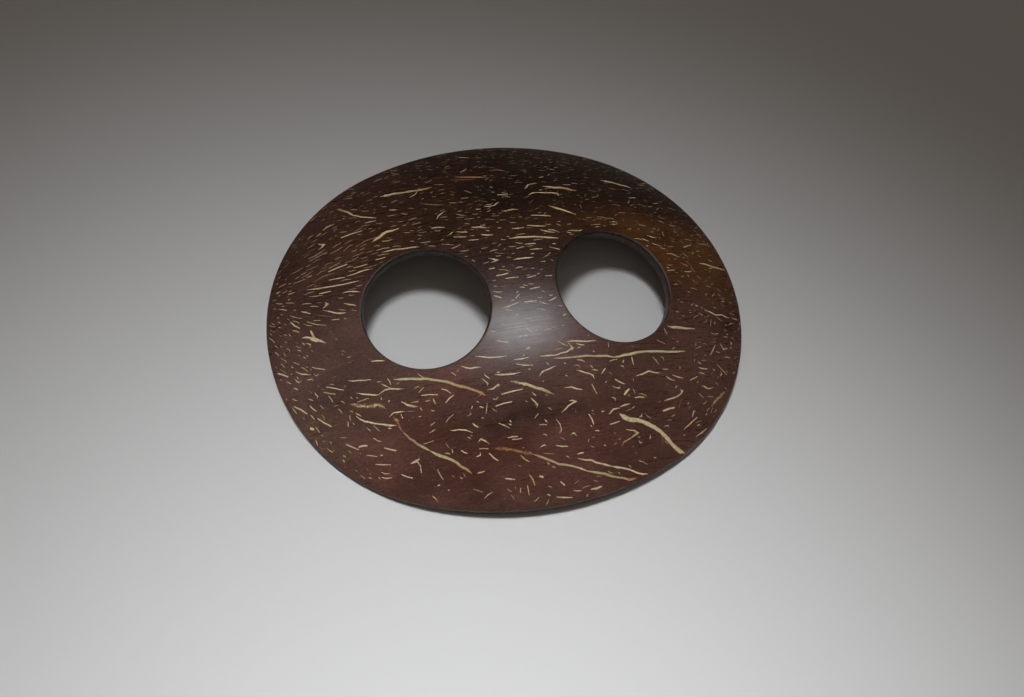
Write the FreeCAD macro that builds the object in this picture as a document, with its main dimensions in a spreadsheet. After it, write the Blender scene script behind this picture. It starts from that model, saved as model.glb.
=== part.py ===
import FreeCAD, Part
import math
import os
import Sketcher

# A scarf buckle cut from one piece of coconut shell: a shallow dome with an oval outline and two
# large round holes side by side. The solid is made in the order of the bench work: take the
# curved wall of the nut, grind its rim flat, saw the oval outline, drill the two holes square to
# the wall, then break every sharp edge. Lengths are in millimetres. X runs through the two holes,
# Z points out of the dome, and the flat rim stands on Z = 0.

NODE = "buckle_plate"

# name, value, what it is
DIMENSIONS = [
    ("plate_length", "89.0", "outline along X"),
    ("plate_width", "73.0", "outline along Y"),
    ("end_radius", "34.75", "radius of the two end arcs of the outline"),
    ("dome_height", "11.3", "top of the full dome above the flat rim"),
    ("nut_long", "95.6", "half axis of the nut's outer wall along X"),
    ("nut_cross", "80.8", "half axis of the nut's outer wall along Y"),
    ("nut_high", "87.0", "half axis of the nut's outer wall along Z"),
    ("wall", "2.0", "thickness of the shell wall"),
    ("hole_diameter", "22.2", "both holes, a 7/8 inch hole saw"),
    ("left_hole_offset", "17.1", "left hole centre from the middle, along -X"),
    ("right_hole_offset", "17.7", "right hole centre from the middle, along +X"),
    ("rim_round", "0.6", "rounding of the outline's upper edge"),
    ("foot_round", "0.3", "rounding of the outline's lower edge"),
    ("hole_round", "0.4", "rounding of both edges of the holes"),
]

# Worked out from the numbers above, still inside the sheet. DEPTH is cos of the nut's own angle.
DEPTH = "sqrt(1 - ({0} / nut_long) ^ 2)"
LEAN = "=atan(nut_high * {0} / (nut_long ^ 2 * " + DEPTH + "))"
HEIGHT = "=dome_height - nut_high * (1 - " + DEPTH + ")"
DERIVED = [
    ("nut_centre_drop", "=nut_high - dome_height", "centre of the nut below Z = 0"),
    ("end_centre", "=plate_length / 2 - end_radius", "centre of an end arc along X"),
    ("side_radius",
     "=(end_centre ^ 2 + (plate_width / 2) ^ 2 - end_radius ^ 2) / (plate_width - 2 * end_radius)",
     "radius of the two flatter side arcs"),
    ("left_hole_lean", LEAN.format("left_hole_offset"), "tilt of the wall at the left hole"),
    ("right_hole_lean", LEAN.format("right_hole_offset"), "tilt of the wall at the right hole"),
    ("left_hole_height", HEIGHT.format("left_hole_offset"), "wall height at the left hole"),
    ("right_hole_height", HEIGHT.format("right_hole_offset"), "wall height at the right hole"),
]

REACH = 130.0  # how far the trimming cuts reach, well past the nut
DRILL_DEPTH = 8.0  # how deep the drill goes below the outer skin
NEAR = 0.02  # how close to a surface counts as lying on it


def number(sheet, name):
    value = getattr(sheet, name)
    return float(getattr(value, "Value", value))


def make_sheet(doc):
    sheet = doc.addObject("Spreadsheet::Sheet", "Dimensions")
    for row, (name, value, note) in enumerate(DIMENSIONS + DERIVED, start=1):
        sheet.set("A%d" % row, name)
        sheet.set("B%d" % row, value)
        sheet.set("C%d" % row, note)
        sheet.setAlias("B%d" % row, name)
    doc.recompute()
    return sheet


def attach(body, feature):
    """Lay a sketch or solid on the body's own ground plane."""
    for plane in body.Origin.OriginFeatures:
        if plane.Role == "XY_Plane":
            feature.AttachmentSupport = [(plane, "")]
            feature.MapMode = "FlatFace"
            return feature
    raise RuntimeError("the body has no XY plane")


def drive(sketch, index, name, expression):
    """Name a dimensional constraint and let the sheet set it."""
    sketch.renameConstraint(index, name)
    sketch.setExpression("Constraints." + name, expression)


def centred_circle(sketch, radius):
    circle = Part.Circle(FreeCAD.Vector(0, 0, 0), FreeCAD.Vector(0, 0, 1), radius)
    index = sketch.addGeometry(circle, False)
    sketch.addConstraint(Sketcher.Constraint("Coincident", index, 3, -1, 1))
    return sketch.addConstraint(Sketcher.Constraint("Radius", index, radius))


def nut_wall(body):
    """The outer skin of the nut and the hollow inside it, on one centre.

    Each ellipsoid is laid on its side, poles along Y, so no pole or seam crosses the plate.
    """
    kinds = (("NutOuter", "PartDesign::AdditiveEllipsoid", ""),
             ("NutHollow", "PartDesign::SubtractiveEllipsoid", " - <<Dimensions>>.wall"))
    on_its_side = FreeCAD.Rotation(FreeCAD.Vector(1, 0, 0), 90)
    for name, kind, shrink in kinds:
        solid = attach(body, body.newObject(kind, name))
        solid.AttachmentOffset = FreeCAD.Placement(FreeCAD.Vector(0, 0, 0), on_its_side)
        solid.setExpression(".AttachmentOffset.Base.z", "-<<Dimensions>>.nut_centre_drop")
        solid.setExpression("Radius1", "<<Dimensions>>.nut_cross" + shrink)
        solid.setExpression("Radius2", "<<Dimensions>>.nut_long" + shrink)
        solid.setExpression("Radius3", "<<Dimensions>>.nut_high" + shrink)


def cut(body, name, sketch, length, upwards):
    before = body.Tip.Shape.Volume
    pocket = body.newObject("PartDesign::Pocket", name)
    pocket.Profile = sketch
    pocket.Type = "Length"
    pocket.Length = length
    pocket.Reversed = upwards
    sketch.Visibility = False
    body.Document.recompute()
    return before - pocket.Shape.Volume


def grind_rim(body):
    """Grind away everything below Z = 0, which leaves the dome on a flat ring."""
    sketch = attach(body, body.newObject("Sketcher::SketchObject", "GrindPlane"))
    centred_circle(sketch, REACH)
    return cut(body, "GrindRim", sketch, 2 * REACH, False)


def oval(sketch, sheet):
    """Four arcs that meet tangentially: right end, far side, left end, near side."""
    end_radius = number(sheet, "end_radius")
    end_centre = number(sheet, "end_centre")
    side_radius = number(sheet, "side_radius")
    side_centre = side_radius - number(sheet, "plate_width") / 2
    joint = math.atan2(side_centre, end_centre)
    up = FreeCAD.Vector(0, 0, 1)
    arcs = ((end_centre, 0, end_radius, -joint, joint),
            (0, -side_centre, side_radius, joint, math.pi - joint),
            (-end_centre, 0, end_radius, math.pi - joint, math.pi + joint),
            (0, side_centre, side_radius, math.pi + joint, 2 * math.pi - joint))
    for x, y, radius, start, stop in arcs:
        circle = Part.Circle(FreeCAD.Vector(x, y, 0), up, radius)
        sketch.addGeometry(Part.ArcOfCircle(circle, start, stop), False)
    right, far, left, near = range(4)
    start_point, end_point, centre = 1, 2, 3
    x_axis, y_axis = -1, -2
    for first, second in ((right, far), (far, left), (left, near), (near, right)):
        sketch.addConstraint(Sketcher.Constraint("Tangent", first, end_point, second, start_point))
    for arc, axis in ((right, x_axis), (left, x_axis), (far, y_axis)):
        sketch.addConstraint(Sketcher.Constraint("PointOnObject", arc, centre, axis))
    sketch.addConstraint(Sketcher.Constraint("Equal", right, left))
    sketch.addConstraint(Sketcher.Constraint("Equal", far, near))
    index = sketch.addConstraint(Sketcher.Constraint("Radius", right, end_radius))
    drive(sketch, index, "end_radius", "<<Dimensions>>.end_radius")
    index = sketch.addConstraint(Sketcher.Constraint("Radius", far, side_radius))
    drive(sketch, index, "side_radius", "<<Dimensions>>.side_radius")
    index = sketch.addConstraint(Sketcher.Constraint("DistanceX", -1, 1, right, centre, end_centre))
    drive(sketch, index, "end_centre", "<<Dimensions>>.end_centre")


def saw_outline(body, sheet):
    """Saw along the oval and drop everything outside it."""
    sketch = attach(body, body.newObject("Sketcher::SketchObject", "SawLine"))
    oval(sketch, sheet)
    centred_circle(sketch, REACH)
    return cut(body, "SawOutline", sketch, REACH, True)


def drill_hole(body, sheet, side, sign):
    """Drill one hole with the saw held square to the wall, so its axis leans outwards."""
    sketch = attach(body, body.newObject("Sketcher::SketchObject", side.capitalize() + "HoleCircle"))
    turn = FreeCAD.Rotation(FreeCAD.Vector(0, sign, 0), number(sheet, side + "_hole_lean"))
    sketch.AttachmentOffset = FreeCAD.Placement(FreeCAD.Vector(0, 0, 0), turn)
    word = "" if sign > 0 else "-"
    sketch.setExpression(".AttachmentOffset.Base.x", word + "<<Dimensions>>.%s_hole_offset" % side)
    sketch.setExpression(".AttachmentOffset.Base.z", "<<Dimensions>>.%s_hole_height" % side)
    sketch.setExpression(".AttachmentOffset.Rotation.Angle", "<<Dimensions>>.%s_hole_lean" % side)
    index = centred_circle(sketch, number(sheet, "hole_diameter") / 2)
    drive(sketch, index, "hole_radius", "<<Dimensions>>.hole_diameter / 2")
    return cut(body, "Drill" + side.capitalize() + "Hole", sketch, DRILL_DEPTH, False)


def nut_level(point, sheet, shrink):
    """0 on the nut's outer skin (shrink 0) or on its hollow (shrink = wall), in mm."""
    axes = [number(sheet, name) - shrink for name in ("nut_long", "nut_cross", "nut_high")]
    offsets = (point.x, point.y, point.z + number(sheet, "nut_centre_drop"))
    reach = math.sqrt(sum((offset / axis) ** 2 for offset, axis in zip(offsets, axes)))
    return (reach - 1) * min(axes)


def edges_where(shape, test):
    """Names of the edges whose points all pass the test."""
    names = []
    for index, edge in enumerate(shape.Edges, start=1):
        if all(test(point) for point in edge.discretize(9)):
            names.append("Edge%d" % index)
    return names


def round_edges(body, name, radius_name, test):
    before = body.Tip
    names = edges_where(before.Shape, test)
    if not names:
        raise RuntimeError(name + " found no edge")
    fillet = body.newObject("PartDesign::Fillet", name)
    fillet.Base = (before, names)
    fillet.setExpression("Radius", "<<Dimensions>>." + radius_name)
    body.Document.recompute()
    print(name, "rounds", len(names), "edges")


def break_edges(body, sheet):
    wall = number(sheet, "wall")
    hole_zone = number(sheet, "right_hole_offset") + number(sheet, "hole_diameter") / 2 + 2

    def in_hole_zone(point):
        flat = math.hypot(point.x / hole_zone, point.y / (number(sheet, "hole_diameter") / 2 + 2))
        return flat < 1.2 and point.z > 2.5

    def outer_rim(point):
        return abs(nut_level(point, sheet, 0)) < NEAR and not in_hole_zone(point)

    def foot(point):
        return abs(point.z) < NEAR and nut_level(point, sheet, wall) > 0.2

    def hole_edge(point):
        on_skin = abs(nut_level(point, sheet, 0)) < NEAR
        in_hollow = abs(nut_level(point, sheet, wall)) < NEAR
        return (on_skin or in_hollow) and in_hole_zone(point)

    round_edges(body, "RoundRim", "rim_round", outer_rim)
    round_edges(body, "RoundFoot", "foot_round", foot)
    round_edges(body, "RoundHoles", "hole_round", hole_edge)


def buckle_plate(doc, sheet):
    body = doc.addObject("PartDesign::Body", NODE)
    body.Label = NODE
    nut_wall(body)
    doc.recompute()
    area = math.pi * (number(sheet, "hole_diameter") / 2) ** 2
    print("ground away %.0f mm3" % grind_rim(body))
    print("sawn off %.0f mm3" % saw_outline(body, sheet))
    for side, sign in (("left", -1), ("right", 1)):
        removed = drill_hole(body, sheet, side, sign)
        expected = area * number(sheet, "wall")
        print("%s hole %.0f mm3, a flat wall would give %.0f" % (side, removed, expected))
        if abs(removed - expected) > 0.1 * expected:
            raise RuntimeError(side + " hole removed the wrong volume")
    break_edges(body, sheet)
    return body


def check(doc):
    for item in doc.Objects:
        if "Invalid" in item.State or "Error" in item.State:
            raise RuntimeError("%s did not rebuild: %s" % (item.Label, item.State))
        shape = getattr(item, "Shape", None)
        if shape is None or item.isDerivedFrom("App::OriginFeature"):
            continue
        if shape.isNull() or not shape.isValid():
            raise RuntimeError(item.Label + " has a bad shape")


def main():
    doc = FreeCAD.newDocument("ScarfBuckle")
    sheet = make_sheet(doc)
    body = buckle_plate(doc, sheet)
    doc.recompute()
    check(doc)
    shape = body.Shape
    if len(shape.Solids) != 1:
        raise RuntimeError("the plate fell into %d solids" % len(shape.Solids))
    box = shape.optimalBoundingBox(True, False)
    print("box X %.3f..%.3f Y %.3f..%.3f Z %.3f..%.3f" % (
        box.XMin, box.XMax, box.YMin, box.YMax, box.ZMin, box.ZMax))
    print("volume %.1f mm3" % shape.Volume)
    os.makedirs("parts", exist_ok=True)
    shape.exportStep("parts/" + NODE + ".step")


main()
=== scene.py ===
"""Looks of a scarf buckle cut from one piece of polished coconut shell.

The shell is a shallow oval dome with two round holes. Its surface carries pale
fibres: long veins placed one by one, and many short flecks scattered by zone.
Lengths are in millimetres until the mesh is made, which is in metres.
"""

import math
import random

import bpy
import numpy as np
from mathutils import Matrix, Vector, noise
from mathutils.geometry import delaunay_2d_cdt


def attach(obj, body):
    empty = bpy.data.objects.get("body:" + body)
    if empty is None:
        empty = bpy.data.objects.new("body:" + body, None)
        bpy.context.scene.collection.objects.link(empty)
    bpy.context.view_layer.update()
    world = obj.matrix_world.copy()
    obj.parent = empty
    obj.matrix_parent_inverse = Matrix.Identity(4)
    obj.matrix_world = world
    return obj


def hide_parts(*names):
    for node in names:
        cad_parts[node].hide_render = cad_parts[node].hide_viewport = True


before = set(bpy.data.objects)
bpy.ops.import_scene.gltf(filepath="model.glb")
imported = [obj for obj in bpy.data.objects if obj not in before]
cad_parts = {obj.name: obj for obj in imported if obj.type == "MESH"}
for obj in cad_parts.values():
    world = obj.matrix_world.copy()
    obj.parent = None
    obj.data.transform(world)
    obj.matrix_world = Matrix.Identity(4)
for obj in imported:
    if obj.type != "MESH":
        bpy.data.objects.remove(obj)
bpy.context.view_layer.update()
rng = random.Random(20)

MM = 0.001

# The shell: two ellipsoids whose shared centre lies below the ground plane.
CENTRE_DROP = 75.7
WALL = 2.0
OUTER_AXES = (95.6, 80.8, 87.0)
INNER_AXES = tuple(axis - WALL for axis in OUTER_AXES)
# Half length and half width of the lip of the hollow, where it meets the ground plane.
LIP = math.sqrt(1.0 - (CENTRE_DROP / INNER_AXES[2]) ** 2)
LIP_X = INNER_AXES[0] * LIP
LIP_Y = INNER_AXES[1] * LIP
# The outline: an oval of four tangent arcs, two at the ends and two along the sides.
HALF_LENGTH = 44.5
HALF_WIDTH = 36.5
END_CENTRE = 9.75
END_RADIUS = HALF_LENGTH - END_CENTRE
BULGE = HALF_WIDTH - END_RADIUS
SIDE_CENTRE = (END_CENTRE ** 2 - BULGE ** 2) / (2 * BULGE)
SIDE_RADIUS = HALF_WIDTH + SIDE_CENTRE
ARC_JOIN = math.atan2(SIDE_CENTRE, END_CENTRE)
RIM_ROUND = 0.6
FOOT_ROUND = 0.3
HOLE_ROUND = 0.4
HOLE_RADIUS = 11.1
HOLE_PLACES = (-17.1, 17.7)

# The mesh: points round each edge, rows in each rounding, and the grid between the fibres.
RIM_STEPS = 320
HOLE_STEPS = 144
RIM_TURN = 6
FOOT_TURN = 4
HOLE_TURN = 5
EDGE_ROWS = RIM_TURN + 1 + FOOT_TURN
LIP_EDGE = 0.12
GRID_STEP = 1.15
TOP_MARGIN = 0.45
UNDER_MARGIN = 0.9

# The fibres: how far they stand up, and how the flecks are scattered.
FIBRE_RISE = 0.014
BURIED_STRENGTH = 0.27
FLECK_TRIES = 9000
FLECK_GAP = 0.36
DENSITY_SCALE = 0.8

# Layout of the texture square: left, bottom, width and height, then the strips of edge rows.
TOP_PLACE = (0.005, 0.255, 0.90, 0.738)
UNDER_PLACE = (0.005, 0.01, 0.26, 0.213)
TEXTURE_EDGE = 0.1
RIM_STRIP = (0.29, 0.008, 0.70, 0.0075)
HOLE_STRIP = (0.29, 0.12, 0.345, 0.012)
HOLE_STRIP_SHIFT = 0.355

# Colours of the fibres, as reflectance.
CREAM = (0.80, 0.66, 0.42)
YELLOW = (0.86, 0.70, 0.38)
GREEN = (0.62, 0.61, 0.33)
ORANGE = (0.53, 0.27, 0.12)
PINK = (0.60, 0.36, 0.25)
OLIVE = (0.34, 0.28, 0.13)
TAN = (0.42, 0.27, 0.14)

THIN = 0.20
FINE = 0.28
WIDE = 0.42

# Long veins and the larger fibres: start colour, end colour, width, points (x, y).
VEINS = (
    # left end and lower left
    (CREAM, CREAM, 0.40, ((-38.5, -0.5), (-37, -0.9), (-36.2, -1.4), (-34.6, -2.6))),
    (CREAM, ORANGE, 0.45, ((-36.8, 0.3), (-36.4, -1.2))),
    (CREAM, CREAM, 1.00, ((-37.0, -1.0), (-36.4, -1.4), (-35.8, -1.9))),
    (GREEN, ORANGE, 0.55, ((-24.3, -11.7), (-21.5, -12.2), (-19, -12.7), (-16.5, -13.6),
                           (-14.5, -14.6), (-12.5, -15.5), (-11, -16.3), (-9.8, -17.2))),
    (GREEN, GREEN, THIN, ((-20.3, -11.6), (-19.9, -12.0), (-19.3, -12.5))),
    (ORANGE, ORANGE, THIN, ((-11, -17.2), (-10, -16.8))),
    (CREAM, CREAM, 0.34, ((-31.3, -16.2), (-30, -17.4), (-28.5, -18.1), (-26, -19), (-25, -19.2))),
    (TAN, GREEN, 0.42, ((-24.0, -20.6), (-23.2, -21.7), (-22, -22.9), (-20, -24.4))),
    (GREEN, ORANGE, 0.50, ((-20, -24.4), (-18, -25.7), (-16, -27), (-14.8, -28.1), (-13.8, -29.1))),
    (CREAM, CREAM, FINE, ((-25.9, -17.6), (-25.2, -17.1), (-24, -17.2), (-23.3, -17.3))),
    (CREAM, CREAM, FINE, ((-24, -17.6), (-23.8, -18.3))),
    (ORANGE, ORANGE, 0.55, ((-24.9, -18.2), (-24.5, -18.5))),
    (CREAM, CREAM, FINE, ((-31.8, -10.1), (-30, -10.5), (-28, -10.8))),
    (CREAM, CREAM, FINE, ((-35.5, -10.2), (-32.7, -11.5))),
    (CREAM, CREAM, THIN, ((-36, -11), (-34.2, -11.8))),
    (CREAM, CREAM, FINE, ((-30.7, -12.5), (-28.5, -13.3), (-27, -13.7))),
    (CREAM, CREAM, FINE, ((-27, -13.5), (-26, -13.1), (-25, -13.1), (-22.8, -13.6))),
    (CREAM, CREAM, THIN, ((-26.4, -12), (-25.2, -12.9))),
    (YELLOW, ORANGE, WIDE, ((-23.6, -15.6), (-22.8, -16.3), (-21, -17))),
    (CREAM, CREAM, FINE, ((-20.2, -15.3), (-17.6, -15.7))),
    (CREAM, CREAM, FINE, ((-37.6, -15), (-35.5, -16.9))),
    (CREAM, CREAM, FINE, ((-41.2, -12), (-39.2, -13.8))),
    (CREAM, CREAM, THIN, ((-38.6, -12.6), (-37.6, -13.8))),
    (CREAM, CREAM, WIDE, ((-43.2, -5.6), (-42.5, -6), (-41.6, -6.7))),
    (CREAM, CREAM, FINE, ((-40.2, -6.2), (-39.3, -6.9), (-37.7, -7.5))),
    (CREAM, CREAM, THIN, ((-37.3, -6.3), (-35.3, -7.2))),
    (CREAM, CREAM, FINE, ((-33.5, -20.3), (-31.6, -21.6))),
    (CREAM, CREAM, WIDE, ((-31.5, -21.2), (-30.2, -21.3))),
    (CREAM, CREAM, FINE, ((-27.4, -22.3), (-25.6, -23.1))),
    (CREAM, CREAM, FINE, ((-29.2, -24.5), (-26.8, -25.1))),
    (CREAM, CREAM, FINE, ((-25.2, -27), (-23.5, -27.9))),
    (CREAM, CREAM, WIDE, ((-23.5, -25.6), (-22, -25.2))),
    (CREAM, CREAM, THIN, ((-22.5, -25.4), (-22, -26.3), (-22, -27.4))),
    (CREAM, CREAM, FINE, ((-16.4, -21.8), (-15, -21.9), (-13.8, -22.2), (-12.8, -22.8))),
    (CREAM, CREAM, FINE, ((-12.2, -24.5), (-11.6, -24), (-10.3, -25))),
    (CREAM, CREAM, FINE, ((-27.5, -7.8), (-25.4, -8.2))),
    (CREAM, CREAM, FINE, ((-10.5, -26.5), (-9.2, -27.9))),
    (CREAM, CREAM, FINE, ((-12.8, -29.2), (-11.7, -29.1))),
    (YELLOW, YELLOW, 0.70, ((-38.9, -16.3), (-38.5, -16.6))),
    # near side, middle
    (PINK, GREEN, 0.42, ((-3, -27.9), (-1, -28.9), (1, -30), (3.5, -30.7), (6, -31.8))),
    (GREEN, ORANGE, 0.42, ((6, -31.8), (9, -32.6), (11.5, -33.5), (13.5, -34.1), (15.3, -34.5))),
    (TAN, TAN, THIN, ((-1.5, -27.9), (0.5, -28.3))),
    (CREAM, CREAM, 0.35, ((4.5, -29.6), (7, -30.2), (8.5, -30.9), (10.5, -31.6))),
    (CREAM, YELLOW, 0.40, ((10.5, -31.6), (12.5, -32.1), (15, -33.1), (17.4, -33.9))),
    (CREAM, YELLOW, 0.90, ((13.3, -23.4), (14.5, -24.3), (16.5, -24.7), (18.5, -25.6),
                           (20.5, -26.8), (22, -28.3), (23.5, -30), (25.2, -31))),
    (PINK, GREEN, 0.45, ((3, -12.8), (6, -13), (9, -13), (11.5, -13.3), (14, -13.7))),
    (GREEN, GREEN, 0.50, ((14, -13.7), (16, -13.5), (18.5, -13.2), (22, -13.2), (25, -13.4),
                          (28.5, -13.4))),
    (CREAM, TAN, 0.60, ((-3.9, -16.1), (-1.8, -16.9), (0, -17.7), (2, -18.9))),
    (CREAM, CREAM, FINE, ((-10.3, -10.5), (-8, -11.1), (-5, -11.3))),
    (CREAM, CREAM, FINE, ((0.7, -12.2), (3.5, -12.3), (5.5, -12), (6.8, -11.5), (6.5, -11), (6.1, -10.4))),
    (CREAM, CREAM, FINE, ((5.8, -10.2), (8, -10.3), (11.3, -10.5))),
    (CREAM, CREAM, FINE, ((-13, -11.7), (-11.5, -12.4), (-9.7, -12.5))),
    (CREAM, CREAM, FINE, ((-3.8, -12.1), (-1.4, -12.1))),
    (CREAM, CREAM, THIN, ((-3.7, -12.9), (-0.8, -13.5))),
    (CREAM, CREAM, FINE, ((-7.6, -14.1), (-5.5, -14.4), (-3.2, -14.4))),
    (CREAM, CREAM, FINE, ((-0.2, -15.6), (0.6, -14.8), (3.2, -14.1))),
    (CREAM, CREAM, FINE, ((-9.3, -16.4), (-8.3, -16.4), (-7.3, -15.8), (-7, -16))),
    (CREAM, CREAM, FINE, ((-7, -17.5), (-3.3, -17.2))),
    (CREAM, CREAM, FINE, ((-8.3, -19.3), (-5.5, -19))),
    (CREAM, CREAM, FINE, ((6.6, -15.3), (8.2, -15.9), (9.5, -16.5), (9.6, -17.1))),
    (CREAM, CREAM, FINE, ((3.9, -18), (5.2, -18), (7.2, -18.7))),
    (CREAM, CREAM, FINE, ((2.7, -22), (4.2, -21), (5.7, -20.5), (4.4, -20.2))),
    (CREAM, CREAM, THIN, ((1.6, -22.8), (2.2, -23.8), (2.3, -24.8), (1.9, -25.2))),
    (CREAM, CREAM, FINE, ((-8.4, -30.8), (-6.8, -31.2))),
    (YELLOW, YELLOW, 0.50, ((-2.5, -31.4), (-2, -31.6))),
    (CREAM, CREAM, WIDE, ((1, -32.8), (1.6, -33.4))),
    (CREAM, CREAM, WIDE, ((-1.5, -34.4), (-1.1, -34.6))),
    (CREAM, CREAM, WIDE, ((6.3, -34.7), (8.2, -34.5))),
    (CREAM, CREAM, THIN, ((-4.8, -32.5), (-4.7, -34))),
    (CREAM, CREAM, FINE, ((0, -35), (2.7, -35.5))),
    # lower right
    (CREAM, CREAM, FINE, ((17.6, -17.3), (20.3, -16.6), (22.5, -17.1))),
    (CREAM, CREAM, FINE, ((25, -17.6), (27, -18.2))),
    (CREAM, CREAM, FINE, ((22.3, -21.9), (24.5, -21.5), (26, -20.9), (26.6, -20.4), (26, -20.1))),
    (CREAM, CREAM, WIDE, ((21.8, -23.6), (24.2, -23.2))),
    (CREAM, ORANGE, FINE, ((14, -26), (15.5, -26.3), (16.4, -26.8), (14.5, -27.6), (13.3, -28),
                           (12.8, -28.6))),
    (CREAM, CREAM, FINE, ((11.3, -23.2), (12.2, -22.5), (13.4, -22.4))),
    (CREAM, CREAM, FINE, ((13.6, -22.2), (15.4, -21.9))),
    (CREAM, CREAM, FINE, ((11.2, -24.9), (13, -24.6))),
    (CREAM, CREAM, FINE, ((13.5, -17.6), (15.1, -18.5))),
    (YELLOW, YELLOW, 0.50, ((14.7, -20.3), (15.8, -19.4))),
    (CREAM, CREAM, FINE, ((11.1, -16.4), (12, -15.5))),
    (CREAM, CREAM, 0.60, ((26.1, -8.7), (28.0, -8.9), (31.8, -9.2))),
    (CREAM, CREAM, FINE, ((25.6, -26.9), (28.7, -25.1))),
    (CREAM, CREAM, FINE, ((28, -28.3), (30.5, -27.1))),
    (CREAM, CREAM, FINE, ((34.1, -14.1), (35.7, -12.3))),
    (CREAM, CREAM, FINE, ((35.2, -5.4), (37.5, -6.3), (39, -6.2), (40.8, -6.8))),
    (CREAM, CREAM, FINE, ((37, -12), (37.5, -13.1), (38.5, -12.8))),
    (PINK, CREAM, FINE, ((35.2, -15.9), (37, -17.7))),
    (CREAM, CREAM, FINE, ((30.9, -16.4), (32.7, -16.7))),
    (CREAM, CREAM, FINE, ((30.8, -19.7), (32, -20.2), (33.3, -20))),
    # far left
    (TAN, CREAM, 0.60, ((-29.2, 25.2), (-28.7, 25), (-27.5, 23.9), (-26.5, 22.6))),
    (CREAM, CREAM, 0.34, ((-26.5, 22.6), (-25, 21.6), (-22.5, 20.6))),
    (CREAM, ORANGE, 0.58, ((-21, 25.9), (-18.5, 26), (-15.5, 25.8), (-13.5, 25.7), (-11.3, 26))),
    (CREAM, CREAM, FINE, ((-14.1, 25.4), (-14.8, 24.6), (-15.8, 24.2))),
    (YELLOW, YELLOW, 0.60, ((-24, 15.2), (-22.5, 16), (-21.2, 16.8), (-19, 17))),
    (CREAM, CREAM, FINE, ((-22.8, 12.4), (-20.5, 12.5), (-17.5, 12.2), (-16.2, 12))),
    (CREAM, CREAM, FINE, ((-29.3, 17.8), (-25.5, 18.3))),
    (CREAM, CREAM, FINE, ((-33.5, 17.8), (-32.3, 17.3), (-33.6, 16.4))),
    (CREAM, CREAM, FINE, ((-24.7, 20), (-22.7, 20))),
    (CREAM, CREAM, FINE, ((-32.3, 20.7), (-31.5, 21.3), (-30.1, 21.5))),
    (OLIVE, OLIVE, WIDE, ((-16.9, 18.5), (-15.5, 18.8))),
    (CREAM, CREAM, FINE, ((-12, 17.6), (-11.6, 18.3), (-10.2, 19.2))),
    (CREAM, CREAM, FINE, ((-19.9, 21.9), (-18.6, 21.6))),
    (OLIVE, TAN, FINE, ((-14.2, 22.1), (-13, 21.6), (-10, 20.8))),
    (CREAM, CREAM, FINE, ((-13.3, 15.7), (-11, 15.4))),
    (CREAM, CREAM, FINE, ((-32.5, 9.2), (-29.8, 9))),
    (CREAM, CREAM, FINE, ((-29.5, 9.1), (-27, 9.4), (-24.8, 9.4))),
    (CREAM, CREAM, FINE, ((-36.5, 8.5), (-33, 7.9), (-30, 7.6), (-27.5, 7.6))),
    (CREAM, CREAM, FINE, ((-28, 10.5), (-25.6, 10.6))),
    (CREAM, CREAM, FINE, ((-24, 11.1), (-22.3, 11.2))),
    (CREAM, CREAM, FINE, ((-32.4, 11), (-29, 11.6))),
    (CREAM, CREAM, FINE, ((-30.5, 5.9), (-29, 5.8), (-27.6, 5.3))),
    (CREAM, CREAM, FINE, ((-30.6, 3.9), (-29, 3.1), (-28.6, 2.8))),
    (CREAM, CREAM, FINE, ((-34.2, 3.5), (-32.2, 2.4), (-30.5, 2))),
    (CREAM, CREAM, THIN, ((-33, 1.3), (-31.8, 1.1))),
    (CREAM, CREAM, THIN, ((-33.7, 5), (-33.2, 4.5), (-34.2, 4))),
    (CREAM, CREAM, FINE, ((-38, 4.5), (-36.5, 3.6))),
    (CREAM, CREAM, FINE, ((-40, 3), (-38.6, 1.4))),
    (CREAM, CREAM, FINE, ((-34.5, 7), (-32.5, 6.9))),
    # far side, middle
    (CREAM, CREAM, WIDE, ((0, 11), (3, 11), (6, 10.7), (9, 10.2))),
    (YELLOW, ORANGE, 0.62, ((9.5, 23.2), (12, 22.7), (14, 22.4), (16, 21.8))),
    (YELLOW, YELLOW, WIDE, ((9.3, 18), (11.5, 16.9), (14, 15.5))),
    (ORANGE, PINK, WIDE, ((-6.5, 27.9), (-3.5, 27.3), (-0.7, 26.8))),
    (TAN, TAN, THIN, ((-7.5, 27.2), (-3, 26.5))),
    (TAN, ORANGE, FINE, ((0.3, 28.8), (2, 28.8), (3.5, 28.2))),
    (CREAM, CREAM, FINE, ((6, 21), (7, 21.5), (9.5, 21.4), (12, 21.1), (12, 20.3))),
    (CREAM, CREAM, FINE, ((5.8, 22.8), (6.7, 23.8), (8.7, 24.2))),
    (CREAM, CREAM, FINE, ((0, 17.5), (1.5, 17.6), (3.2, 17.6))),
    (CREAM, CREAM, FINE, ((-2.9, 19.1), (-1, 19.1), (0.1, 19.8))),
    (OLIVE, OLIVE, WIDE, ((-5.6, 23.8), (-4.5, 22.9))),
    (OLIVE, OLIVE, 0.50, ((-6.6, 21.8), (-5.4, 21.8))),
    (CREAM, CREAM, FINE, ((0.2, 21.7), (2.1, 21.4))),
    (CREAM, CREAM, FINE, ((-6.3, 14.6), (-5, 14.4), (-3, 13.9))),
    (CREAM, CREAM, FINE, ((-9, 13.9), (-7.2, 13.6))),
    (CREAM, CREAM, FINE, ((-9.8, 12.9), (-7.6, 12.6))),
    (CREAM, CREAM, FINE, ((-4.8, 12.6), (-2.8, 12.2))),
    (CREAM, CREAM, FINE, ((1, 13.2), (3.2, 13.2))),
    (CREAM, CREAM, FINE, ((4, 13.6), (7.3, 13.1))),
    (CREAM, CREAM, FINE, ((11.4, 11.8), (13, 11.6), (14.3, 11.9))),
    (CREAM, CREAM, FINE, ((5.3, 15.9), (9, 15.4))),
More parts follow.
